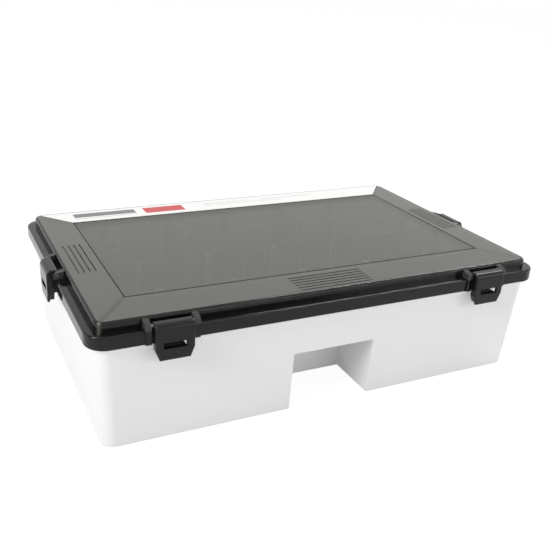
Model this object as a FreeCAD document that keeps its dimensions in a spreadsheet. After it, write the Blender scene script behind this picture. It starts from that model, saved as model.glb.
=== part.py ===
import FreeCAD, Part
import math
import os
import re

import Sketcher

# Fishing tackle cabinet: a deep white tub with a finger notch in its front, a smoked lid that swings on
# two rear hinges and is held down by four latches, a seal between them, and slotted dividers inside.
# Millimetres, +Z up. The origin is the centre of the underside, and the front is towards -Y.

SIZES = (
    # tub shell
    ("base_half_x", 171.0),
    ("base_half_y", 105.5),
    ("base_corner", 9.0),
    ("tub_wall", 2.0),
    ("tub_floor", 2.0),
    ("wall_spread", 4.1),
    ("flange_height", 75.0),
    ("flange_thickness", 2.5),
    ("flange_chamfer", 1.5),
    ("flange_inset", 1.5),
    # finger notch in the front of the tub
    ("notch_half", 33.5),
    ("notch_gap", 5.3),
    ("notch_height", 46.7),
    # lid rim and upper body
    ("rim_overhang", 9.0),
    ("rim_corner", 14.0),
    ("rim_height", 9.6),
    ("rim_round", 1.5),
    ("rim_lip_round", 0.8),
    ("lid_wall", 2.0),
    ("lid_gap", 0.2),
    ("step_width", 6.5),
    ("upper_rise", 6.7),
    ("upper_round", 2.5),
    ("crown_rise", 0.5),
    ("crown_inset", 4.0),
    ("frame_width_x", 26.9),
    ("frame_width_y", 31.75),
    # seal and the channel that holds it
    ("seal_height", 1.9),
    ("seal_width", 2.4),
    ("seal_gap", 0.1),
    ("channel_rib", 1.2),
    ("channel_clearance", 0.4),
    ("channel_depth", 4.0),
    # grooves in the top of the lid
    ("groove_width", 1.0),
    ("groove_depth", 0.6),
    ("side_groove_length", 55.0),
    ("side_groove_start", 6.6),
    ("side_groove_pitch", 4.1),
    ("front_groove_length", 59.0),
    ("front_groove_start", 7.25),
    ("front_groove_pitch", 4.0),
    # latches, their ears and pins
    ("latch_share", 0.737),
    ("latch_width", 26.2),
    ("latch_height", 25.2),
    ("latch_proud", 5.5),
    ("latch_plate", 2.0),
    ("latch_round", 1.0),
    ("latch_shoulder", 4.0),
    ("flank_clearance", 0.5),
    ("flank_wall", 2.0),
    ("barrel_radius", 2.4),
    ("pin_inset", 1.2),
    ("pin_rise", 2.7),
    ("pin_radius", 1.0),
    ("pin_running", 0.05),
    ("pin_seat_clearance", 0.02),
    ("pin_recess", 0.3),
    ("hook_width", 15.6),
    ("hook_overlap", 1.3),
    ("hook_clearance", 0.4),
    ("hook_nose", 0.7),
    ("hook_thickness", 3.6),
    ("slot_height", 4.3),
    ("lip_taper_width", 2.8),
    ("lip_taper_height", 7.2),
    ("ear_clearance", 1.1),
    ("ear_thickness", 4.1),
    ("ear_proud", 1.1),
    ("ear_nose", 1.7),
    ("ear_rise", 1.9),
    ("ear_drop", 0.2),
    # rear hinges: one knuckle on the lid between two on the tub, and a pin through all three
    ("hinge_share", 0.62),
    ("hinge_drop", 1.3),
    ("hinge_gap", 0.5),
    ("hinge_radius", 2.5),
    ("hinge_pin_radius", 1.2),
    ("lid_knuckle", 14.0),
    ("tub_knuckle", 7.0),
    ("knuckle_gap", 0.3),
    # label on the rear slope of the lid
    ("label_margin", 1.0),
    ("label_thickness", 0.3),
    # dividers and the ribs that hold them
    ("row_share", 0.493),
    ("column_share", 0.336),
    ("long_thickness", 2.0),
    ("cross_thickness", 1.6),
    ("divider_gap", 0.3),
    ("slot_clearance", 0.2),
    ("rib_width", 1.0),
    ("rib_proud", 1.2),
    ("rib_top_gap", 0.8),
    ("overrun", 5.0),
)

# Sizes and heights that follow from the ones above.
DERIVED = (
    ("latch_place", "latch_share * base_half_x"),
    ("column_pitch", "column_share * base_half_x"),
    ("row_pitch", "row_share * base_half_y"),
    ("half_long", "long_thickness / 2"),
    ("rib_face", "half_long + rib_proud"),
    ("rim_half_x", "base_half_x + rim_overhang"),
    ("rim_half_y", "base_half_y + rim_overhang"),
    ("flange_top", "flange_height + flange_thickness"),
    ("rim_bottom", "flange_top + lid_gap"),
    ("rim_top", "rim_bottom + rim_height"),
    ("step_under", "rim_top - lid_wall"),
    ("wall_top", "step_under - seal_height - seal_gap"),
    ("upper_top", "rim_top + upper_rise"),
    ("upper_under", "upper_top - lid_wall"),
    ("crown_top", "upper_top + crown_rise"),
    ("upper_half_x", "rim_half_x - step_width"),
    ("upper_half_y", "rim_half_y - step_width"),
    ("upper_corner", "rim_corner - step_width"),
    ("crown_half_x", "upper_half_x - crown_inset"),
    ("crown_half_y", "upper_half_y - crown_inset"),
    ("panel_half_x", "upper_half_x - frame_width_x"),
    ("panel_half_y", "upper_half_y - frame_width_y"),
    ("wall_top_half_x", "base_half_x + wall_spread"),
    ("wall_top_half_y", "base_half_y + wall_spread"),
    ("wall_top_inset", "rim_overhang - wall_spread"),
    ("wall_top_corner", "rim_corner - wall_top_inset"),
    ("wall_slope", "wall_spread / wall_top"),
    ("cavity_base_x", "base_half_x - tub_wall + wall_slope * tub_floor"),
    ("cavity_base_y", "base_half_y - tub_wall + wall_slope * tub_floor"),
    ("cavity_corner", "base_corner - tub_wall"),
    ("cavity_top_x", "wall_top_half_x - tub_wall"),
    ("cavity_top_y", "wall_top_half_y - tub_wall"),
    ("cavity_top_corner", "wall_top_corner - tub_wall"),
    ("half_wall", "tub_wall / 2"),
    ("housing_top", "notch_height + tub_wall"),
    ("housing_half", "notch_half + tub_wall"),
    ("housing_back", "row_pitch + rib_face + notch_gap"),
    ("housing_wall_y", "base_half_y - half_wall + wall_slope * housing_top"),
    ("notch_back", "housing_back + tub_wall"),
    ("rib_top", "step_under - channel_depth - rib_top_gap"),
    ("flange_root_x", "base_half_x - half_wall + wall_slope * flange_height"),
    ("flange_root_y", "base_half_y - half_wall + wall_slope * flange_height"),
    ("flange_half_x", "rim_half_x - flange_inset"),
    ("flange_half_y", "rim_half_y - flange_inset"),
    ("flange_corner", "rim_corner - flange_inset"),
    ("flange_root_corner", "wall_top_corner - half_wall"),
    ("outer_rib_inset", "wall_top_inset - channel_clearance"),
    ("inner_rib_inset", "wall_top_inset + tub_wall + channel_clearance"),
    ("outer_rib_outside", "outer_rib_inset - channel_rib"),
    ("inner_rib_inside", "inner_rib_inset + channel_rib"),
    ("channel_bottom", "step_under - channel_depth"),
    ("seal_bottom", "wall_top + seal_gap"),
    ("seal_outside", "wall_top_inset + half_wall - seal_width / 2"),
    ("seal_inside", "seal_outside + seal_width"),
    ("front_groove_half", "front_groove_length / 2"),
    ("side_groove_half", "side_groove_length / 2"),
    ("half_groove", "groove_width / 2"),
    ("slope_groove_depth", "groove_depth + crown_rise / 2"),
    ("side_groove_near", "panel_half_x + side_groove_start - half_groove"),
    ("side_groove_far", "side_groove_near + groove_width"),
    ("front_groove_near", "panel_half_y + front_groove_start - half_groove"),
    ("front_groove_far", "front_groove_near + groove_width"),
    ("latch_spacing", "2 * latch_place"),
    ("pin_height", "rim_top + pin_rise"),
    ("half_lid_wall", "lid_wall / 2"),
    # latch section, measured from its pin: y runs inwards, z runs up
    ("plate_face", "-latch_proud - pin_inset"),
    ("plate_back", "plate_face + latch_plate"),
    ("flank_back", "-flank_clearance - pin_inset"),
    ("latch_top", "barrel_radius"),
    ("latch_bottom", "latch_top - latch_height"),
    ("web_under", "latch_top - latch_plate"),
    ("plate_middle", "plate_face + latch_plate / 2"),
    ("shoulder_y", "plate_face + latch_shoulder"),
    ("shoulder_z", "latch_top - latch_shoulder"),
    ("web_middle", "latch_top - latch_plate / 2"),
    ("hook_tip", "flange_inset + hook_overlap - pin_inset"),
    ("flange_catch_z", "flange_height + flange_chamfer - hook_overlap - pin_height"),
    ("hook_tip_z", "flange_catch_z - hook_clearance"),
    ("hook_root_z", "hook_tip_z + hook_nose"),
    ("hook_under_z", "hook_root_z - hook_thickness"),
    ("hook_heel", "hook_tip - hook_thickness + hook_nose"),
    ("slot_top_z", "hook_root_z + slot_height"),
    ("taper_z", "latch_bottom + lip_taper_height"),
    ("half_latch", "latch_width / 2"),
    ("half_lip", "half_latch - lip_taper_width"),
    ("flank_inside", "half_latch - flank_wall"),
    ("half_hook", "hook_width / 2"),
    ("bore_radius", "pin_radius + pin_running"),
    ("ear_start", "half_latch + ear_clearance"),
    ("ear_end", "ear_start + ear_thickness"),
    ("half_pin", "ear_end - pin_recess"),
    ("ear_hole", "pin_radius + pin_seat_clearance"),
    # ear section, measured from the rim's face: y runs inwards, z runs up from the base
    ("ear_root_y", "step_width + upper_round"),
    ("ear_root_z", "upper_top - ear_drop"),
    ("ear_wall_y", "step_width + half_lid_wall"),
    ("ear_wall_z", "upper_under - half_lid_wall"),
    ("ear_step_z", "rim_top - half_lid_wall"),
    ("ear_top_z", "pin_height + ear_rise"),
    ("ear_front_z", "ear_top_z - ear_nose"),
    # hinges, whose axis lies behind the rim, a little below the top of the tub's wall
    ("hinge_place", "hinge_share * base_half_x"),
    ("hinge_spacing", "2 * hinge_place"),
    ("hinge_inside", "rim_half_y + hinge_gap"),
    ("hinge_y", "hinge_inside + hinge_radius"),
    ("hinge_outside", "hinge_y + hinge_radius"),
    ("hinge_z", "wall_top - hinge_drop"),
    ("hinge_top", "hinge_z + hinge_radius"),
    ("hinge_bottom", "hinge_z - hinge_radius"),
    ("half_knuckle", "lid_knuckle / 2"),
    ("knuckle_start", "half_knuckle + knuckle_gap"),
    ("knuckle_end", "knuckle_start + tub_knuckle"),
    ("half_hinge_pin", "knuckle_end - pin_recess"),
    ("hinge_bore", "hinge_pin_radius + pin_running"),
    ("hinge_seat", "hinge_pin_radius + pin_seat_clearance"),
    ("arm_root_y", "flange_half_y - flange_chamfer"),
    # label, a trapezium between the mitres of the lid's frame
    ("slope_depth", "crown_half_y - panel_half_y"),
    ("slope_side", "crown_half_x - panel_half_x"),
    ("mitre", "slope_side / slope_depth"),
    ("label_near", "panel_half_y + half_groove + label_margin"),
    ("label_far", "crown_half_y"),
    ("label_near_half", "panel_half_x + mitre * (label_near - panel_half_y) - label_margin"),
    ("label_far_half", "panel_half_x + mitre * (label_far - panel_half_y) - label_margin"),
    # dividers
    ("divider_top", "step_under - divider_gap"),
    ("divider_height", "divider_top - tub_floor"),
    ("long_half", "base_half_x - tub_wall - divider_gap"),
    ("half_cross", "cross_thickness / 2"),
    ("cross_slot", "half_cross + slot_clearance"),
    ("cross_rib_end", "cross_slot + rib_width"),
    ("long_slot", "half_long + slot_clearance"),
    ("end_rib_x", "long_half - rib_proud"),
    ("outer_cross_end", "base_half_y - tub_wall - divider_gap"),
    ("side_rib_y", "outer_cross_end - rib_proud"),
    ("long_reach", "half_long + divider_gap"),
    ("column_reach", "2 * column_pitch"),
    ("rib_root_x", "base_half_x - half_wall + wall_slope * tub_floor"),
    ("rib_root_top_x", "base_half_x - half_wall + wall_slope * rib_top"),
    ("rib_root_y", "base_half_y - half_wall + wall_slope * tub_floor"),
    ("rib_root_top_y", "base_half_y - half_wall + wall_slope * rib_top"),
)

# How near two places are when they count as one.
NEAR = 0.001
SIDE_GROOVES = 4
FRONT_GROOVES = 6
FRONT_LATCHES = 2
HINGES = 2
RIB_COLUMNS = 5
RIB_ROWS = 3
# Where each row of compartments starts and ends.
ROW_ENDS = {
    "front": ("-outer_cross_end", "-row_pitch - long_reach"),
    "mid_front": ("long_reach - row_pitch", "-long_reach"),
    "mid_rear": ("long_reach", "row_pitch - long_reach"),
    "rear": ("row_pitch + long_reach", "outer_cross_end"),
}
# Cross dividers: the row that each one is in, and its column, counted from the middle.
CROSS_PLACES = (
    ("front", -2), ("front", -1), ("front", 1), ("front", 2),
    ("mid_front", 0), ("mid_front", 2),
    ("mid_rear", 0), ("mid_rear", 1),
    ("rear", -1), ("rear", 1),
)
COLUMN_NAMES = {-2: "far_left", -1: "left", 0: "middle", 1: "right", 2: "far_right"}

doc = FreeCAD.newDocument("tackle_cabinet")
sheet = doc.addObject("Spreadsheet::Sheet", "sizes")
derived = doc.addObject("App::VarSet", "derived")
pieces = []


def fill_sheet():
    for row, (name, size) in enumerate(SIZES, start=1):
        sheet.set("A%d" % row, name)
        sheet.set("B%d" % row, str(size))
        sheet.setAlias("B%d" % row, name)
    doc.recompute()
    for name, words in DERIVED:
        derived.addProperty("App::PropertyFloat", name)
        derived.setExpression(name, formula(words))
    doc.recompute()


def formula(words):
    """The words of a size, such as rim_top - lid_wall, as an expression on the sheet."""
    driving = {name for name, size in SIZES}

    def full_name(found):
        name = found.group()
        return ("sizes." if name in driving else "derived.") + name

    return re.sub(r"[a-z_]+", full_name, words)


def value(words):
    """The number that a named size, or a sum of named sizes, has now."""
    total = 0.0
    sign = 1.0
    for word in words.split():
        if word in ("+", "-"):
            sign = 1.0 if word == "+" else -1.0
            continue
        name = word.lstrip("-")
        size = getattr(derived, name) if hasattr(derived, name) else sheet.get(name)
        total += -sign * size if word.startswith("-") else sign * size
    return total


def opposite(words):
    """A sum of named sizes with all its signs turned round, which mirrors a coordinate."""
    turned = words.translate(str.maketrans("+-", "-+"))
    return turned.lstrip("+") if turned.startswith("+") else "-" + turned


def new_body(name):
    body = doc.addObject("PartDesign::Body", name)
    body.Label = name
    pieces.append(body)
    return body


def origin_feature(body, role):
    return next(item for item in body.Origin.OriginFeatures if item.Role == role)


def new_sketch(body, plane, lift=None):
    """A sketch on one of the body's own origin planes, lifted along its normal by a named size."""
    sketch = body.newObject("Sketcher::SketchObject", "outline")
    sketch.AttachmentSupport = [(origin_feature(body, plane), "")]
    sketch.MapMode = "FlatFace"
    if lift:
        sketch.setExpression("AttachmentOffset.Base.z", formula(lift))
    return sketch


def pin_point(sketch, geometry, end, across, up):
    """Ties one point of a sketch to two named sizes, or to an axis where there is no size."""
    for kind, words, axis in (("DistanceX", across, -2), ("DistanceY", up, -1)):
        if not words:
            sketch.addConstraint(Sketcher.Constraint("PointOnObject", geometry, end, axis))
            continue
        number = sketch.addConstraint(Sketcher.Constraint(kind, -1, 1, geometry, end, value(words)))
        sketch.setExpression("Constraints[%d]" % number, formula(words))


def polygon(sketch, points):
    """A closed outline through points whose coordinates are named sizes or sums of them."""
    places = [FreeCAD.Vector(value(across), value(up), 0) for across, up in points]
    first = sketch.GeometryCount
    count = len(points)
    for index in range(count):
        sketch.addGeometry(Part.LineSegment(places[index], places[(index + 1) % count]), False)
    for index in range(count):
        following = (index + 1) % count
        sketch.addConstraint(Sketcher.Constraint("Coincident", first + index, 2, first + following, 1))
        pin_point(sketch, first + index, 1, *points[index])


def rectangle(sketch, left, right, low, high):
    polygon(sketch, ((left, low), (right, low), (right, high), (left, high)))


def circle(sketch, radius, across="", up=""):
    centre = FreeCAD.Vector(value(across), value(up), 0)
    ring = sketch.addGeometry(Part.Circle(centre, FreeCAD.Vector(0, 0, 1), value(radius)), False)
    pin_point(sketch, ring, 3, across, up)
    number = sketch.addConstraint(Sketcher.Constraint("Radius", ring, value(radius)))
    sketch.setExpression("Constraints[%d]" % number, formula(radius))


def rounded_rectangle(sketch, half_x, half_y, corner, inset=None):
    """A rectangle about the origin with round corners, moved in all round by an inset."""
    inward = value(inset) if inset else 0.0
    taken = " - " + inset if inset else ""
    radius = value(corner) - inward
    away_x = value(half_x) - value(corner)
    away_y = value(half_y) - value(corner)
    first = sketch.GeometryCount
    turns = ((1, 1, 0), (-1, 1, 1), (-1, -1, 2), (1, -1, 3))
    for sign_x, sign_y, quarter in turns:
        centre = FreeCAD.Vector(sign_x * away_x, sign_y * away_y, 0)
        ring = Part.Circle(centre, FreeCAD.Vector(0, 0, 1), radius)
        start = quarter * math.pi / 2
        sketch.addGeometry(Part.ArcOfCircle(ring, start, start + math.pi / 2), False)
    arcs = [sketch.Geometry[first + index] for index in range(4)]
    for index in range(4):
        following = arcs[(index + 1) % 4]
        sketch.addGeometry(Part.LineSegment(arcs[index].EndPoint, following.StartPoint), False)
    for index, (sign_x, sign_y, quarter) in enumerate(turns):
        arc = first + index
        line = first + 4 + index
        sketch.addConstraint(Sketcher.Constraint("Tangent", arc, 2, line, 1))
        sketch.addConstraint(Sketcher.Constraint("Tangent", line, 2, first + (index + 1) % 4, 1))
        number = sketch.addConstraint(Sketcher.Constraint("Radius", arc, radius))
        sketch.setExpression("Constraints[%d]" % number, formula(corner + taken))
        for kind, sign, half, away in (("DistanceX", sign_x, half_x, away_x),
                                       ("DistanceY", sign_y, half_y, away_y)):
            place = sign * away
            number = sketch.addConstraint(Sketcher.Constraint(kind, -1, 1, arc, 3, place))
            words = "(%s - %s)" % (half, corner)
            sketch.setExpression("Constraints[%d]" % number, ("-" if sign < 0 else "") + formula(words))


def pad(body, sketch, length, reverse=False, midplane=False):
    feature = body.newObject("PartDesign::Pad", "pad")
    feature.Profile = sketch
    feature.Reversed = reverse
    feature.Midplane = midplane
    feature.setExpression("Length", formula(length))
    doc.recompute()
    return feature


def pocket(body, sketch, length, reverse=False, midplane=False):
    """Cuts a sketch through the body, and stops if nothing came off."""
    before = body.Shape.Volume
    feature = body.newObject("PartDesign::Pocket", "pocket")
    feature.Profile = sketch
    feature.Reversed = reverse
    feature.Midplane = midplane
    feature.setExpression("Length", formula(length))
    doc.recompute()
    if body.Shape.Volume >= before:
        raise ValueError("%s: a pocket cuts nothing" % body.Label)
    return feature


def loft(body, kind, lower, upper):
    feature = body.newObject("PartDesign::" + kind, "loft")
    feature.Profile = lower
    feature.Sections = [upper]
    feature.Ruled = True
    doc.recompute()
    return feature


def edges_at(shape, height):
    """Names of the edges that lie level at one height."""
    names = []
    for number, edge in enumerate(shape.Edges, start=1):
        box = edge.BoundBox
        if abs(box.ZMin - height) < NEAR and abs(box.ZMax - height) < NEAR:
            names.append("Edge%d" % number)
    return names


def on_outline(edge, half_x, half_y):
    """Whether an edge's ends both lie on the sides of a rectangle about the origin."""
    return all(min(abs(abs(point.X) - value(half_x)), abs(abs(point.Y) - value(half_y))) < NEAR
               for point in edge.Vertexes)


def round_edges(body, names, radius):
    base = body.Tip
    feature = body.newObject("PartDesign::Fillet", "fillet")
    feature.Base = (base, names)
    feature.setExpression("Radius", formula(radius))
    doc.recompute()
    return feature


def copies(body, features, axis, step, count, reverse=False):
    """A row of copies of some features along an origin axis, one step apart."""
    pattern = body.newObject("PartDesign::LinearPattern", "row")
    pattern.Originals = features
    pattern.Direction = (origin_feature(body, axis), [""])
    pattern.Reversed = reverse
    pattern.Occurrences = count
    pattern.setExpression("Length", "%d * %s" % (count - 1, formula(step)))
    body.Tip = pattern
    doc.recompute()
    return pattern


def make_tub():
    body = new_body("tub")
    lower = new_sketch(body, "XY_Plane")
    rounded_rectangle(lower, "base_half_x", "base_half_y", "base_corner")
    upper = new_sketch(body, "XY_Plane", "wall_top")
    rounded_rectangle(upper, "wall_top_half_x", "wall_top_half_y", "wall_top_corner")
    loft(body, "AdditiveLoft", lower, upper)
    lower = new_sketch(body, "XY_Plane", "tub_floor")
    rounded_rectangle(lower, "cavity_base_x", "cavity_base_y", "cavity_corner")
    upper = new_sketch(body, "XY_Plane", "wall_top")
    rounded_rectangle(upper, "cavity_top_x", "cavity_top_y", "cavity_top_corner")
    loft(body, "SubtractiveLoft", lower, upper)
    add_flange(body)
    add_tub_ribs(body)
    add_notch(body)
    arm = (("arm_root_y", "flange_height"), ("hinge_y", "flange_height"),
           ("hinge_outside", "flange_height + flange_thickness"), ("hinge_outside", "hinge_z"),
           ("hinge_inside", "hinge_z"), ("hinge_inside", "flange_top"), ("arm_root_y", "flange_top"))
    add_knuckles(body, arm, ("-hinge_place - knuckle_end", "knuckle_start - hinge_place"),
                 "tub_knuckle", "hinge_seat")


def add_knuckles(body, arm, starts, width, bore):
    """Knuckles of both hinges, each an arm with a round end, and the bore that runs through them."""
    features = []
    for start in starts:
        sketch = new_sketch(body, "YZ_Plane", start)
        polygon(sketch, arm)
        features.append(pad(body, sketch, width))
        sketch = new_sketch(body, "YZ_Plane", start)
        circle(sketch, "hinge_radius", "hinge_y", "hinge_z")
        features.append(pad(body, sketch, width))
    copies(body, features, "X_Axis", "hinge_spacing", HINGES)
    sketch = new_sketch(body, "YZ_Plane")
    circle(sketch, bore, "hinge_y", "hinge_z")
    pocket(body, sketch, "rim_half_x + rim_half_x", midplane=True)


def add_flange(body):
    """The flange that the latches hook under, with a chamfer along its lower outer edge."""
    sketch = new_sketch(body, "XY_Plane", "flange_height")
    rounded_rectangle(sketch, "flange_half_x", "flange_half_y", "flange_corner")
    rounded_rectangle(sketch, "flange_root_x", "flange_root_y", "flange_root_corner")
    feature = pad(body, sketch, "flange_thickness")
    names = [name for name in edges_at(feature.Shape, value("flange_height"))
             if on_outline(feature.Shape.getElement(name), "flange_half_x", "flange_half_y")]
    chamfer = body.newObject("PartDesign::Chamfer", "chamfer")
    chamfer.Base = (feature, names)
    chamfer.setExpression("Size", formula("flange_chamfer"))
    doc.recompute()


def add_notch(body):
    """The walls that step in round the notch, then the notch itself."""
    sketch = new_sketch(body, "YZ_Plane")
    polygon(sketch, (("-rib_root_y", "half_wall"), ("-housing_back", "half_wall"),
                     ("-housing_back", "housing_top"), ("-housing_wall_y", "housing_top")))
    pad(body, sketch, "housing_half + housing_half", midplane=True)
    sketch = new_sketch(body, "YZ_Plane")
    polygon(sketch, (("-rim_half_y", "-overrun"), ("-notch_back", "-overrun"),
                     ("-notch_back", "notch_height"), ("-rim_half_y", "notch_height")))
    pocket(body, sketch, "notch_half + notch_half", midplane=True)


def add_tub_ribs(body):
    """Pairs of ribs on the walls, which hold the ends of the dividers."""
    sides = []
    ends = []
    for side in ("", "-"):
        sides.append(((side + "side_rib_y", "half_wall"), (side + "side_rib_y", "rib_top"),
                      (side + "rib_root_top_y", "rib_top"), (side + "rib_root_y", "half_wall")))
        ends.append(((side + "end_rib_x", "half_wall"), (side + "end_rib_x", "rib_top"),
                     (side + "rib_root_top_x", "rib_top"), (side + "rib_root_x", "half_wall")))
    pair = rib_pair(body, "YZ_Plane", sides, "-column_reach", "cross_slot")
    copies(body, pair, "X_Axis", "column_pitch", RIB_COLUMNS)
    pair = rib_pair(body, "XZ_Plane", ends, "row_pitch", "long_slot")
    copies(body, pair, "Y_Axis", "row_pitch", RIB_ROWS)


def rib_pair(body, plane, outlines, place, slot):
    """Two ribs, one on each side of a slot, as two pads that share their outlines."""
    pair = []
    for words, away in (("%s + %s" % (place, slot), False), ("%s - %s" % (place, slot), True)):
        sketch = new_sketch(body, plane, words)
        for outline in outlines:
            polygon(sketch, outline)
        pair.append(pad(body, sketch, "rib_width", reverse=away))
    return pair


def make_lid():
    body = new_body("lid")
    sketch = new_sketch(body, "XY_Plane", "rim_bottom")
    rounded_rectangle(sketch, "rim_half_x", "rim_half_y", "rim_corner")
    rim = pad(body, sketch, "rim_height")
    rounded = round_edges(body, edges_at(rim.Shape, value("rim_top")), "rim_round")
    round_edges(body, edges_at(rounded.Shape, value("rim_bottom")), "rim_lip_round")
    sketch = new_sketch(body, "XY_Plane", "rim_top")
    rounded_rectangle(sketch, "upper_half_x", "upper_half_y", "upper_corner")
    upper = pad(body, sketch, "upper_rise")
    round_edges(body, edges_at(upper.Shape, value("upper_top")), "upper_round")
    add_crown(body)
    hollow_lid(body)
    add_channel(body)
    cut_grooves(body)
    add_ears(body)
    arm = (("rim_half_y - half_lid_wall", "hinge_bottom"), ("hinge_y", "hinge_bottom"),
           ("hinge_y", "hinge_top"), ("rim_half_y - half_lid_wall", "hinge_top"))
    add_knuckles(body, arm, ("-hinge_place - half_knuckle",), "lid_knuckle", "hinge_bore")


def add_crown(body):
    """Four gentle slopes, mitred at the corners, which rise from the edge to the flat panel."""
    lower = new_sketch(body, "XY_Plane", "upper_top")
    rectangle(lower, "-crown_half_x", "crown_half_x", "-crown_half_y", "crown_half_y")
    upper = new_sketch(body, "XY_Plane", "crown_top")
    rectangle(upper, "-panel_half_x", "panel_half_x", "-panel_half_y", "panel_half_y")
    loft(body, "AdditiveLoft", lower, upper)


def hollow_lid(body):
    sketch = new_sketch(body, "XY_Plane", "rim_bottom")
    rounded_rectangle(sketch, "rim_half_x", "rim_half_y", "rim_corner", "lid_wall")
    pocket(body, sketch, "rim_height - lid_wall", reverse=True)
    sketch = new_sketch(body, "XY_Plane", "step_under")
    rounded_rectangle(sketch, "upper_half_x", "upper_half_y", "upper_corner", "lid_wall")
    pocket(body, sketch, "upper_under - step_under", reverse=True)


def add_channel(body):
    """Two ribs under the step, which hold the seal between them over the tub's edge."""
    for outside, inside in (("outer_rib_outside", "outer_rib_inset"),
                            ("inner_rib_inset", "inner_rib_inside")):
        sketch = new_sketch(body, "XY_Plane", "channel_bottom")
        rounded_rectangle(sketch, "rim_half_x", "rim_half_y", "rim_corner", outside)
        rounded_rectangle(sketch, "rim_half_x", "rim_half_y", "rim_corner", inside)
        pad(body, sketch, "channel_depth + half_lid_wall")


def cut_grooves(body):
    """The line round the panel, and the finger grooves in the front and side slopes."""
    sketch = new_sketch(body, "XY_Plane", "crown_top")
    rectangle(sketch, "-panel_half_x - half_groove", "panel_half_x + half_groove",
              "-panel_half_y - half_groove", "panel_half_y + half_groove")
    rectangle(sketch, "half_groove - panel_half_x", "panel_half_x - half_groove",
              "half_groove - panel_half_y", "panel_half_y - half_groove")
    pocket(body, sketch, "groove_depth")
    for side, left in (("", False), ("-", True)):
        sketch = new_sketch(body, "XY_Plane", "crown_top")
        rectangle(sketch, side + "side_groove_near", side + "side_groove_far",
                  "-side_groove_half", "side_groove_half")
        groove = pocket(body, sketch, "slope_groove_depth")
        copies(body, [groove], "X_Axis", "side_groove_pitch", SIDE_GROOVES, reverse=left)
    sketch = new_sketch(body, "XY_Plane", "crown_top")
    rectangle(sketch, "-front_groove_half", "front_groove_half", "-front_groove_near", "-front_groove_far")
    groove = pocket(body, sketch, "slope_groove_depth")
    copies(body, [groove], "Y_Axis", "front_groove_pitch", FRONT_GROOVES, reverse=True)


def ear_outline(sketch, face, sides):
    """An ear's section, on one or two sides of the lid: it stands on the step and laps over the rim."""
    depths = ("ear_root_y", "ear_nose - ear_proud", "-ear_proud", "-ear_proud", "half_lid_wall",
              "half_lid_wall", "ear_wall_y", "ear_wall_y")
    heights = ("ear_root_z", "ear_top_z", "ear_front_z", "rim_bottom", "rim_bottom",
               "ear_step_z", "ear_step_z", "ear_wall_z")
    near = ["%s - %s" % (depth, face) for depth in depths]
    far = [opposite(words) for words in near]
    hole = "pin_inset - " + face
    for across, middle in ((near, hole), (far, opposite(hole)))[:sides]:
        polygon(sketch, tuple(zip(across, heights)))
        circle(sketch, "ear_hole", middle, "pin_height")


def add_ears(body):
    """Two ears for each latch: one pair of sketches serves both ends of the lid."""
    pair = []
    for words, away in (("ear_start - latch_place", False), ("-latch_place - ear_start", True)):
        sketch = new_sketch(body, "YZ_Plane", words)
        ear_outline(sketch, "rim_half_y", 1)
        pair.append(pad(body, sketch, "ear_thickness", reverse=away))
    copies(body, pair, "X_Axis", "latch_spacing", FRONT_LATCHES)
    for words, away in (("ear_start", False), ("-ear_start", True)):
        sketch = new_sketch(body, "XZ_Plane", words)
        ear_outline(sketch, "rim_half_x", 2)
        pad(body, sketch, "ear_thickness", reverse=away)


def make_seal():
    body = new_body("lid_seal")
    sketch = new_sketch(body, "XY_Plane", "seal_bottom")
    rounded_rectangle(sketch, "rim_half_x", "rim_half_y", "rim_corner", "seal_outside")
    rounded_rectangle(sketch, "rim_half_x", "rim_half_y", "rim_corner", "seal_inside")
    pad(body, sketch, "seal_height")


def make_label():
    """A thin strip that lies on the rear slope, drawn flat and then tilted with the slope."""
    body = new_body("label")
    sketch = new_sketch(body, "XY_Plane")
    near = "label_near - panel_half_y"
    far = "label_far - panel_half_y"
    polygon(sketch, (("-label_near_half", near), ("label_near_half", near),
                     ("label_far_half", far), ("-label_far_half", far)))
    pad(body, sketch, "label_thickness")
    tilt = math.degrees(math.atan2(value("crown_rise"), value("slope_depth")))
    body.Placement = FreeCAD.Placement(FreeCAD.Vector(), FreeCAD.Rotation(FreeCAD.Vector(1, 0, 0), -tilt))
    body.setExpression("Placement.Base.y", formula("panel_half_y"))
    body.setExpression("Placement.Base.z", formula("crown_top"))
    doc.recompute()


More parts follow.
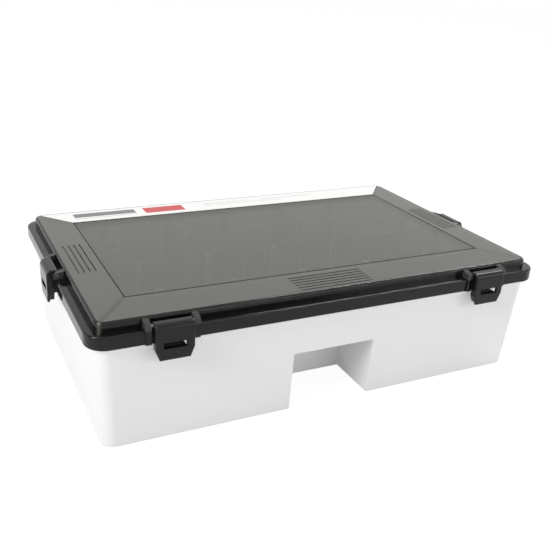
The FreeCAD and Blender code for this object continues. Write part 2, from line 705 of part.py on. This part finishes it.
def make_latch(name, turn, across, along):
    """A hinged latch, drawn about its pin with the box towards +Y, then turned to its side."""
    body = new_body(name)
    sketch = new_sketch(body, "YZ_Plane")
    polygon(sketch, (("plate_face", "latch_bottom"), ("plate_back", "latch_bottom"),
                     ("plate_back", "web_under"), ("", "web_under"),
                     ("", "latch_top"), ("plate_face", "latch_top")))
    pad(body, sketch, "latch_width", midplane=True)
    shoulder = set(edges_at(body.Shape, value("latch_top"))) & set(edges_in_front(body.Shape))
    round_edges(body, sorted(shoulder), "latch_shoulder")
    taper_lip(body)
    round_edges(body, edges_in_front(body.Shape), "latch_round")
    sketch = new_sketch(body, "YZ_Plane")
    circle(sketch, "barrel_radius")
    pad(body, sketch, "latch_width", midplane=True)
    for words, away in (("flank_inside", False), ("-flank_inside", True)):
        sketch = new_sketch(body, "YZ_Plane", words)
        polygon(sketch, (("plate_middle", "latch_bottom"), ("flank_back", "latch_bottom"),
                         ("flank_back", "web_middle"), ("shoulder_y", "web_middle"),
                         ("plate_middle", "shoulder_z")))
        pad(body, sketch, "flank_wall", reverse=away)
    taper_lip(body)
    sketch = new_sketch(body, "XZ_Plane")
    rectangle(sketch, "-half_hook", "half_hook", "hook_root_z", "slot_top_z")
    pocket(body, sketch, "latch_proud + pin_inset + overrun", reverse=True)
    sketch = new_sketch(body, "YZ_Plane")
    polygon(sketch, (("plate_middle", "hook_root_z"), ("hook_tip - hook_nose", "hook_root_z"),
                     ("hook_tip", "hook_tip_z"), ("hook_heel", "hook_under_z"),
                     ("plate_middle", "hook_under_z")))
    pad(body, sketch, "hook_width", midplane=True)
    sketch = new_sketch(body, "YZ_Plane")
    circle(sketch, "bore_radius")
    pocket(body, sketch, "latch_width + overrun", midplane=True)
    place(body, FreeCAD.Rotation(FreeCAD.Vector(0, 0, 1), turn), across, along, "pin_height")


def edges_in_front(shape):
    """Names of the edges that lie in a latch's outer face, before the latch is turned to its side."""
    names = []
    for number, edge in enumerate(shape.Edges, start=1):
        box = edge.BoundBox
        if abs(box.YMin - value("plate_face")) < NEAR and abs(box.YMax - value("plate_face")) < NEAR:
            names.append("Edge%d" % number)
    return names


def taper_lip(body):
    """Narrows the lower end of the latch on both sides."""
    sketch = new_sketch(body, "XZ_Plane")
    low = "latch_bottom - overrun"
    corner = (("half_latch", "taper_z"), ("half_lip", "latch_bottom"), ("half_lip", low),
              ("half_latch + overrun", low), ("half_latch + overrun", "taper_z"))
    polygon(sketch, corner)
    polygon(sketch, tuple((opposite(across), up) for across, up in corner))
    pocket(body, sketch, "latch_height", midplane=True)


def make_pin(name, radius, half, lengthwise, across, along, up):
    """A plain rod along X, or else along Y, with its middle at its place."""
    pin = doc.addObject("Part::Cylinder", name)
    pin.Label = name
    pieces.append(pin)
    pin.setExpression("Radius", formula(radius))
    pin.setExpression("Height", formula("%s + %s" % (half, half)))
    towards = FreeCAD.Vector(1, 0, 0) if lengthwise else FreeCAD.Vector(0, 1, 0)
    if lengthwise:
        across += " - " + half
    else:
        along += " - " + half
    place(pin, FreeCAD.Rotation(FreeCAD.Vector(0, 0, 1), towards), across, along, up)


def place(item, rotation, across, along, up):
    """Turns a piece and moves it to its place."""
    item.Placement.Rotation = rotation
    for axis, words in (("x", across), ("y", along), ("z", up)):
        item.setExpression("Placement.Base." + axis, formula(words))
    doc.recompute()


def make_latches():
    front = "pin_inset - rim_half_y"
    sides = (
        ("front_left", 0, "-latch_place", front), ("front_right", 0, "latch_place", front),
        ("left", -90, "pin_inset - rim_half_x", "0"), ("right", 90, "rim_half_x - pin_inset", "0"),
    )
    for side, turn, across, along in sides:
        make_latch("latch_" + side, turn, across, along)
        make_pin("latch_pin_" + side, "pin_radius", "half_pin", turn == 0, across, along, "pin_height")


def make_hinge_pins():
    for side, across in (("left", "-hinge_place"), ("right", "hinge_place")):
        make_pin("hinge_pin_" + side, "hinge_pin_radius", "half_hinge_pin", True, across,
                 "hinge_y", "hinge_z")


def make_long_divider(name, row):
    """A partition along the tub, with rib pairs on both faces for the cross dividers."""
    body = new_body(name)
    sketch = new_sketch(body, "XZ_Plane")
    rectangle(sketch, "-long_half", "long_half", "tub_floor", "divider_top")
    pad(body, sketch, "long_thickness", midplane=True)
    sketch = new_sketch(body, "XY_Plane", "tub_floor")
    for near, far in (("cross_slot", "cross_rib_end"), ("-cross_slot", "-cross_rib_end")):
        rectangle(sketch, near + " - column_reach", far + " - column_reach", "-rib_face", "rib_face")
    ribs = pad(body, sketch, "divider_height")
    copies(body, [ribs], "X_Axis", "column_pitch", RIB_COLUMNS)
    body.setExpression("Placement.Base.y", formula("%d * row_pitch" % row))
    doc.recompute()


def make_cross_divider(name, column, near, far):
    body = new_body(name)
    sketch = new_sketch(body, "YZ_Plane")
    rectangle(sketch, near, far, "tub_floor", "divider_top")
    pad(body, sketch, "cross_thickness", midplane=True)
    body.setExpression("Placement.Base.x", formula("%d * column_pitch" % column))
    doc.recompute()


def make_dividers():
    for name, row in (("front", -1), ("middle", 0), ("rear", 1)):
        make_long_divider("long_divider_" + name, row)
    for row_name, column in CROSS_PLACES:
        near, far = ROW_ENDS[row_name]
        make_cross_divider("cross_divider_%s_%s" % (row_name, COLUMN_NAMES[column]), column, near, far)


def check_and_export():
    """Stops on any failed object or bad shape, then writes one file for each piece."""
    for item in doc.Objects:
        if "Invalid" in item.State or "Error" in item.State:
            raise ValueError("%s failed" % item.Name)
    for piece in pieces:
        if piece.Shape.isNull() or not piece.Shape.isValid() or len(piece.Shape.Solids) != 1:
            raise ValueError("%s has a bad shape" % piece.Label)
    os.makedirs("parts", exist_ok=True)
    for piece in pieces:
        piece.Shape.exportStep("parts/%s.step" % piece.Label)
        box = piece.Shape.BoundBox
        print("%-32s %10.1f mm3  x %.2f..%.2f  y %.2f..%.2f  z %.2f..%.2f" % (
            piece.Label, piece.Shape.Volume, box.XMin, box.XMax, box.YMin, box.YMax, box.ZMin, box.ZMax))


fill_sheet()
make_tub()
make_lid()
make_seal()
make_label()
make_latches()
make_hinge_pins()
make_dividers()
check_and_export()
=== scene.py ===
import math
from collections import namedtuple

import bpy
from mathutils import Matrix, Vector

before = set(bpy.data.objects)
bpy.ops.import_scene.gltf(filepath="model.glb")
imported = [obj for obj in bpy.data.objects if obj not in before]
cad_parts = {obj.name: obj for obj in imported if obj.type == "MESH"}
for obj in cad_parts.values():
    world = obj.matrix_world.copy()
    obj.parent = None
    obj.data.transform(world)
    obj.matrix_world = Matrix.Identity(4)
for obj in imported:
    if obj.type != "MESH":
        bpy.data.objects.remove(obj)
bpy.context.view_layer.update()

# Lengths are in metres in the CAD frame: X to the right, Y to the rear, Z up from the table.
# FAR lies beyond every piece.
FAR = 1.0
UNIT = (0.0, 1.0)
WHITE = (1.0, 1.0, 1.0, 1.0)

# The Mix node gives one name to several sockets, so they go by number.
FACTOR = 0
FIRST_VALUE, SECOND_VALUE, MIXED_VALUE = 2, 3, 0
FIRST_COLOUR, SECOND_COLOUR, MIXED_COLOUR = 6, 7, 2

# The texture that all surfaces share, beside each one's own grain.
TONE_SCALE, TONE_DETAIL = 14.0, 3.0
GLOSS_SCALE, GLOSS_DETAIL = 90.0, 4.0
GRAIN_DETAIL, GRAIN_STRENGTH = 5.0, 0.35

# A face counts as level where the upright share of its normal lies between these limits.
LEVEL = (0.97, 1.01)

Finish = namedtuple("Finish", "material tree shader coords colour")


def extent(name):
    """A piece's least and greatest X, Y and Z in the frame."""
    points = [vertex.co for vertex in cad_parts[name].data.vertices]
    return [[pick(point[axis] for point in points) for axis in range(3)] for pick in (min, max)]


def shade(red, green, blue):
    """An opaque colour."""
    return (red, green, blue, 1.0)


def calculate(tree, operation, *values):
    """The result of one sum or test on sockets and plain numbers."""
    node = tree.nodes.new("ShaderNodeMath")
    node.operation = operation
    for entry, value in zip(node.inputs, values):
        if isinstance(value, float):
            entry.default_value = value
        else:
            tree.links.new(value, entry)
    return node.outputs[0]


def between(tree, value, low, high):
    """A mask of 1 where a value lies between two limits, and 0 elsewhere."""
    return calculate(tree, "MULTIPLY", calculate(tree, "GREATER_THAN", value, low),
                     calculate(tree, "LESS_THAN", value, high))


def mapped(tree, value, source, target, clamp=True):
    """A value carried over from one range to another."""
    node = tree.nodes.new("ShaderNodeMapRange")
    node.clamp = clamp
    for entry, number in zip(("From Min", "From Max", "To Min", "To Max"), (*source, *target)):
        node.inputs[entry].default_value = number
    tree.links.new(value, node.inputs["Value"])
    return node.outputs["Result"]


def tinted(tree, colour, mask, overlay):
    """A colour with another colour laid over it where the mask is 1."""
    layer = tree.nodes.new("ShaderNodeMix")
    layer.data_type = "RGBA"
    tree.links.new(mask, layer.inputs[FACTOR])
    tree.links.new(colour, layer.inputs[FIRST_COLOUR])
    layer.inputs[SECOND_COLOUR].default_value = overlay
    return layer.outputs[MIXED_COLOUR]


def noise(tree, coords, scale, detail):
    """Uneven values from 0 to 1 that stay with the piece."""
    node = tree.nodes.new("ShaderNodeTexNoise")
    node.inputs["Scale"].default_value = scale
    node.inputs["Detail"].default_value = detail
    tree.links.new(coords["Object"], node.inputs["Vector"])
    return node.outputs["Fac"]


def separate(tree, vector):
    """The X, Y and Z of a vector, by name."""
    node = tree.nodes.new("ShaderNodeSeparateXYZ")
    tree.links.new(vector, node.inputs["Vector"])
    return node.outputs


def surface(name, light, dark, rough, grain_scale, grain_height, **settings):
    """A moulded or drawn surface: slow changes of tone, uneven gloss and a fine grain."""
    material = bpy.data.materials.new(name)
    material.use_nodes = True
    tree = material.node_tree
    shader = tree.nodes["Principled BSDF"]
    for entry, value in settings.items():
        shader.inputs[entry.replace("_", " ")].default_value = value
    coords = tree.nodes.new("ShaderNodeTexCoord").outputs

    tone = tree.nodes.new("ShaderNodeMix")
    tone.data_type = "RGBA"
    tone.inputs[FIRST_COLOUR].default_value = light
    tone.inputs[SECOND_COLOUR].default_value = dark
    tree.links.new(noise(tree, coords, TONE_SCALE, TONE_DETAIL), tone.inputs[FACTOR])
    colour = tone.outputs[MIXED_COLOUR]
    tree.links.new(colour, shader.inputs["Base Color"])

    gloss = mapped(tree, noise(tree, coords, GLOSS_SCALE, GLOSS_DETAIL), UNIT, rough)
    tree.links.new(gloss, shader.inputs["Roughness"])

    bump = tree.nodes.new("ShaderNodeBump")
    bump.inputs["Strength"].default_value = GRAIN_STRENGTH
    bump.inputs["Distance"].default_value = grain_height
    tree.links.new(noise(tree, coords, grain_scale, GRAIN_DETAIL), bump.inputs["Height"])
    tree.links.new(bump.outputs["Normal"], shader.inputs["Normal"])
    return Finish(material, tree, shader, coords, colour)


def see_through(finish, wall, sides, frame_cover, frame_painted_light, panel, panel_cover, panel_painted_light,
                ears, ear_painted_light):
    """Makes the lid's top thinner to look through than its sides, with painted light on its top and ears.
    """
    tree, shader = finish.tree, finish.shader
    places = separate(tree, finish.coords["Object"])
    across = calculate(tree, "ABSOLUTE", places["X"])
    along = calculate(tree, "ABSOLUTE", places["Y"])
    upright = calculate(tree, "ABSOLUTE", separate(tree, finish.coords["Normal"])["Z"])
    high = calculate(tree, "ADD", *(between(tree, places["Z"], *heights) for heights in wall))
    top = calculate(tree, "MULTIPLY", between(tree, upright, *LEVEL), high)
    inside = calculate(tree, "MULTIPLY", between(tree, across, -FAR, panel[0]),
                       between(tree, along, -FAR, panel[1]))
    middle = calculate(tree, "MULTIPLY", top, inside)

    thin = tree.nodes.new("ShaderNodeMix")
    tree.links.new(middle, thin.inputs[FACTOR])
    tree.links.new(mapped(tree, top, UNIT, (sides, frame_cover)), thin.inputs[FIRST_VALUE])
    thin.inputs[SECOND_VALUE].default_value = panel_cover
    tree.links.new(thin.outputs[MIXED_VALUE], shader.inputs["Alpha"])

    outside = calculate(tree, "MAXIMUM", between(tree, across, ears[0], FAR),
                        between(tree, along, ears[1], FAR))
    ear = calculate(tree, "MULTIPLY", outside, between(tree, places["Z"], ears[2], FAR))
    colour = finish.colour
    # Painted light: the top, its panel and the ears are made lighter to stand for light coming through
    # the smoked plastic.
    for mask, overlay in ((top, frame_painted_light), (middle, panel_painted_light), (ear, ear_painted_light)):
        colour = tinted(tree, colour, mask, overlay)
    tree.links.new(colour, shader.inputs["Base Color"])


def painted_mitre_shade(finish, inner, outer, width, reach, overlay):
    """Painted shade: soft darker lines along the mitre creases between an inner and an outer rectangle.
    """
    tree, base = finish.tree, finish.shader.inputs["Base Color"]
    places = separate(tree, finish.coords["Object"])
    shares = [mapped(tree, calculate(tree, "ABSOLUTE", places[axis]), ends, UNIT, clamp=False)
              for axis, *ends in zip("XY", inner, outer)]
    apart = calculate(tree, "ABSOLUTE", calculate(tree, "SUBTRACT", *shares))
    fade = mapped(tree, apart, (0.0, width), (1.0, 0.0))
    mask = calculate(tree, "MULTIPLY", fade, between(tree, shares[0], *reach))
    tree.links.new(tinted(tree, base.links[0].from_socket, mask, overlay), base)


def ribbed(finish, pitch, rib, cover):
    """A clear wall that is thicker to look through along upright ribs, one pitch apart."""
    tree = finish.tree
    across = calculate(tree, "ABSOLUTE", separate(tree, finish.coords["Object"])["X"])
    from_rib = calculate(tree, "PINGPONG", across, pitch / 2.0)
    tree.links.new(mapped(tree, from_rib, rib, cover), finish.shader.inputs["Alpha"])


def printed(finish, marks):
    """Prints plain blocks and rules on a surface, each a rectangle in X and Y."""
    tree = finish.tree
    places = separate(tree, finish.coords["Object"])
    colour = finish.colour
    for left, right, near, far, overlay in marks:
        mask = calculate(tree, "MULTIPLY", between(tree, places["X"], left, right),
                         between(tree, places["Y"], near, far))
        colour = tinted(tree, colour, mask, overlay)
    tree.links.new(colour, finish.shader.inputs["Base Color"])


# The lid's places, worked out from the label, which lies on the rear one of the four slopes round the
# flat panel. The slopes' outer edge is their foot.
LABEL_END_GAP = 0.001
LABEL_PANEL_GAP = 0.0015
END_SLOPE = 0.0229
EAR_GAP = 0.0046
EAR_DEPTH = 0.0066
(_, label_near, slope_foot), (label_end, label_far, _) = extent("label")
slopes_half = (label_end + LABEL_END_GAP, label_far)
panel_half = (slopes_half[0] - END_SLOPE, label_near - LABEL_PANEL_GAP)
ear_start = (slopes_half[0] + EAR_GAP, slopes_half[1] + EAR_GAP, slope_foot - EAR_DEPTH)

# The heights in which the underside and the upper side of the lid's top wall lie.
UNDERSIDE_DEPTHS = (0.0025, 0.001)
UPPER_TOLERANCE = 0.00003
top_wall = ([slope_foot - depth for depth in UNDERSIDE_DEPTHS], (slope_foot - UPPER_TOLERANCE, FAR))

# The ribs on the long dividers stand where the cross dividers fit.
(divider_left, *_), (divider_right, *_) = extent("cross_divider_front_right")
rib_pitch = (divider_left + divider_right) / 2.0

# The dividers are clear, with the same tone for both kinds.
DIVIDER_LOOK = {"light": shade(0.8, 0.81, 0.8), "dark": shade(0.76, 0.77, 0.76), "rough": (0.4, 0.55),
                "grain_scale": 2600.0, "grain_height": 0.00005}
DIVIDER_COVER = 0.2

GREY_INK = shade(0.16, 0.16, 0.165)
PALE_INK = shade(0.55, 0.55, 0.55)
RED_INK = shade(0.55, 0.03, 0.03)

# Left, right, near and far edge of each mark on the label, and its ink.
LABEL_MARKS = (
    (-0.143, -0.090, 0.0885, 0.0985, GREY_INK),
    (-0.143, -0.090, 0.0845, 0.0862, PALE_INK),
    (-0.082, -0.046, 0.0845, 0.0990, RED_INK),
    (-0.026, 0.020, 0.0945, 0.0960, PALE_INK),
    (0.032, 0.086, 0.0945, 0.0960, PALE_INK),
    (-0.026, 0.052, 0.0893, 0.0905, PALE_INK),
)


def white_plastic():
    """The tub: satin white, and a little light goes into it."""
    return surface("white_plastic", light=shade(0.86, 0.865, 0.86), dark=shade(0.83, 0.835, 0.83),
                   rough=(0.36, 0.5), grain_scale=2600.0, grain_height=0.00006,
                   Subsurface_Weight=0.25, Subsurface_Radius=(1.0, 1.0, 1.0), Subsurface_Scale=0.003)


def smoked_plastic():
    """The lid: glossy and dark, clearer in its top than at its sides, with painted light and shade."""
    finish = surface("smoked_plastic", light=shade(0.008, 0.008, 0.0075), dark=shade(0.005, 0.005, 0.005),
                     rough=(0.05, 0.08), grain_scale=320.0, grain_height=0.000003,
                     Specular_IOR_Level=0.32)
    # Painted light: the frame, panel and ear colours are lighter to stand for light coming through the
    # lid.
    see_through(finish, wall=top_wall, sides=0.86,
                frame_cover=0.76, frame_painted_light=shade(0.143, 0.143, 0.129),
                panel=panel_half, panel_cover=0.56, panel_painted_light=shade(0.161, 0.161, 0.146),
                ears=ear_start, ear_painted_light=shade(0.06, 0.06, 0.058))
    # Painted shade: soft darker lines along the mitre creases between the panel and the slopes.
    painted_mitre_shade(finish, inner=panel_half, outer=slopes_half, width=0.14, reach=(0.03, 1.15),
           overlay=shade(0.092, 0.092, 0.084))
    return finish


def black_plastic():
    """The latches: black, with a soft shine."""
    return surface("black_plastic", light=shade(0.009, 0.009, 0.0095), dark=shade(0.006, 0.006, 0.0065),
                   rough=(0.14, 0.24), grain_scale=3200.0, grain_height=0.00005,
                   Specular_IOR_Level=0.28)


def divider_plastic():
    """The cross dividers."""
    return surface("divider_plastic", **DIVIDER_LOOK, Alpha=DIVIDER_COVER)


def long_plastic():
    """The long dividers, which are whiter along their ribs."""
    finish = surface("long_plastic", **DIVIDER_LOOK)
    ribbed(finish, pitch=rib_pitch, rib=(0.0022, 0.0036), cover=(1.0, DIVIDER_COVER))
    return finish


def seal_rubber():
    """The seal under the lid: dull and dark."""
    return surface("seal_rubber", light=shade(0.06, 0.06, 0.06), dark=shade(0.045, 0.045, 0.045),
                   rough=(0.6, 0.8), grain_scale=4000.0, grain_height=0.0001)


def pin_steel():
    """The pins of the latches and hinges."""
    return surface("pin_steel", light=shade(0.58, 0.58, 0.59), dark=shade(0.5, 0.5, 0.51),
                   rough=(0.2, 0.34), grain_scale=5200.0, grain_height=0.00003, Metallic=1.0)


def label_white():
    """The label: white, with plain marks printed on it."""
    finish = surface("label_white", light=shade(0.87, 0.87, 0.855), dark=shade(0.84, 0.84, 0.825),
                     rough=(0.3, 0.42), grain_scale=1800.0, grain_height=0.00002)
    printed(finish, LABEL_MARKS)
    return finish


# Each piece takes the finish with the longest name that its own name starts with.
steel = pin_steel()
FINISHES = {
    "tub": white_plastic(), "lid": smoked_plastic(), "lid_seal": seal_rubber(), "label": label_white(),
    "latch": black_plastic(), "latch_pin": steel, "hinge_pin": steel,
    "long_divider": long_plastic(), "cross_divider": divider_plastic(),
}
for name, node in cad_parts.items():
    kind = max((key for key in FINISHES if name.startswith(key)), key=len)
    node.data.materials.clear()
    node.data.materials.append(FINISHES[kind].material)

# The surroundings and the floor show white, whatever light they throw on the pieces.
SURROUNDING_LIGHT = 0.53
SURROUNDING_WHITE = 1.0
FLOOR_SIZE = 12.0
FLOOR_GAP = 0.0002
FLOOR_LIGHT = shade(0.88, 0.88, 0.88)
FLOOR_SHADOW = shade(0.16, 0.16, 0.16)
FLOOR_GLOW = 0.91


def background(tree, lighting, showing, output):
    """Uses one shader to light the pieces and another where the background itself is seen."""
    rays = tree.nodes.new("ShaderNodeLightPath").outputs
    direct = calculate(tree, "MAXIMUM", rays["Is Camera Ray"], rays["Is Glossy Ray"])
    seen = calculate(tree, "MAXIMUM", rays["Is Transmission Ray"], direct)
    choice = tree.nodes.new("ShaderNodeMixShader")
    for entry, socket in zip(choice.inputs, (seen, lighting.outputs[0], showing.outputs[0])):
        tree.links.new(socket, entry)
    tree.links.new(choice.outputs[0], tree.nodes[output].inputs["Surface"])


def glowing(tree, kind, strength):
    """A white source of light of the given kind."""
    node = tree.nodes.new(kind)
    node.inputs["Color"].default_value = WHITE
    node.inputs["Strength"].default_value = strength
    return node


def matt(tree, colour):
    """A dull surface of one colour."""
    node = tree.nodes.new("ShaderNodeBsdfDiffuse")
    node.inputs["Color"].default_value = colour
    return node


def surroundings():
    """A world that lights the pieces softly from all sides and looks white."""
    world = bpy.data.worlds.new("surroundings")
    world.use_nodes = True
    tree = world.node_tree
    tree.nodes.remove(tree.nodes["Background"])
    background(tree, glowing(tree, "ShaderNodeBackground", SURROUNDING_LIGHT),
               glowing(tree, "ShaderNodeBackground", SURROUNDING_WHITE), "World Output")
    return world


def paper():
    """The floor's material, which looks white and takes only a faint shadow."""
    material = bpy.data.materials.new("paper")
    material.use_nodes = True
    tree = material.node_tree
    tree.nodes.remove(tree.nodes["Principled BSDF"])
    shown = tree.nodes.new("ShaderNodeAddShader")
    glow = glowing(tree, "ShaderNodeEmission", FLOOR_GLOW)
    for entry, part in zip(shown.inputs, (matt(tree, FLOOR_SHADOW), glow)):
        tree.links.new(part.outputs[0], entry)
    background(tree, matt(tree, FLOOR_LIGHT), shown, "Material Output")
    return material


bpy.context.scene.world = surroundings()
bpy.ops.mesh.primitive_plane_add(size=FLOOR_SIZE, location=(0.0, 0.0, -FLOOR_GAP))
floor = bpy.context.object
floor.name = "floor"
floor.data.materials.append(paper())


def lamp(name, place, width, length, power):
    """A rectangular lamp that faces the middle of the frame."""
    light = bpy.data.lights.new(name, "AREA")
    light.shape = "RECTANGLE"
    light.size = width
    light.size_y = length
    light.energy = power
    holder = bpy.data.objects.new(name, light)
    holder.location = place
    holder.rotation_euler = (-Vector(place)).to_track_quat("-Z", "Y").to_euler()
    bpy.context.scene.collection.objects.link(holder)


lamp("key", place=(-1.8, -0.5, 1.2), width=0.8, length=0.8, power=22.0)
lamp("top", place=(1.2, 0.4, 1.8), width=0.35, length=1.0, power=19.0)
lamp("front", place=(1.15, -1.75, 0.85), width=1.3, length=0.25, power=6.0)

# The camera was fitted to the edges in the photo. Its lens is in millimetres, its angles in degrees.
CAMERA_PLACE = (-0.26277, -0.50992, 0.30262)
YAW, PITCH, ROLL = 26.47, 23.12, 3.19
LENS, SENSOR_WIDTH = 48.566, 36.0
SHIFT = (0.0238, 0.0022)
CLIP = (0.01, 50.0)


def camera_turn(yaw, pitch, roll):
    """The turn of a camera that looks to the rear and level before it yaws, pitches down and rolls."""
    ahead = Vector((math.sin(yaw) * math.cos(pitch), math.cos(yaw) * math.cos(pitch), -math.sin(pitch)))
    right = Vector((math.cos(yaw), -math.sin(yaw), 0.0))
    up = right.cross(ahead)
    across = math.cos(roll) * right + math.sin(roll) * up
    upward = math.cos(roll) * up - math.sin(roll) * right
    return Matrix((across, upward, -ahead)).transposed().to_4x4()


lens = bpy.data.cameras.new("camera")
lens.lens, lens.sensor_width = LENS, SENSOR_WIDTH
lens.shift_x, lens.shift_y = SHIFT
lens.clip_start, lens.clip_end = CLIP
camera = bpy.data.objects.new("camera", lens)
turn = camera_turn(*(math.radians(angle) for angle in (YAW, PITCH, ROLL)))
camera.matrix_world = Matrix.Translation(CAMERA_PLACE) @ turn
bpy.context.scene.collection.objects.link(camera)
bpy.context.scene.camera = camera
bpy.context.scene.view_settings.view_transform = "Standard"
